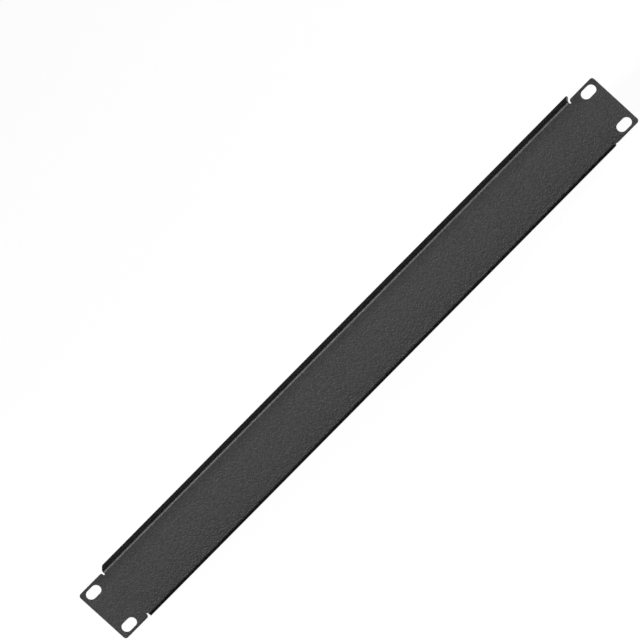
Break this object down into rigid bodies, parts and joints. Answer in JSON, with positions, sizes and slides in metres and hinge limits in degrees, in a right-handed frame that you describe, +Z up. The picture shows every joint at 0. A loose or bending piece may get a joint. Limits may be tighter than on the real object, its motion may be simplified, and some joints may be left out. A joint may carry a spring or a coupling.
{
  "type": "rack blanking panel",
  "caption": "Flat sheet-steel panel that closes an empty rack space, with slotted mounting ears and its long edges folded back for stiffness.",
  "frame": {"origin": "centre of the four mounting slots, on the rear face of the ears, which seats on the rack rails", "axes": "+X along the panel, to the right seen from the front; +Z up; the front face looks towards -Y and the folded edges run back towards +Y"},
  "size_m": [0.4826, 0.0135, 0.044],
  "materials": {
    "powder_coat": "fine-textured matt black powder coat on sheet steel"
  },
  "bodies": {
    "root": {"blanking_panel": "powder_coat"}
  },
  "joints": []
}
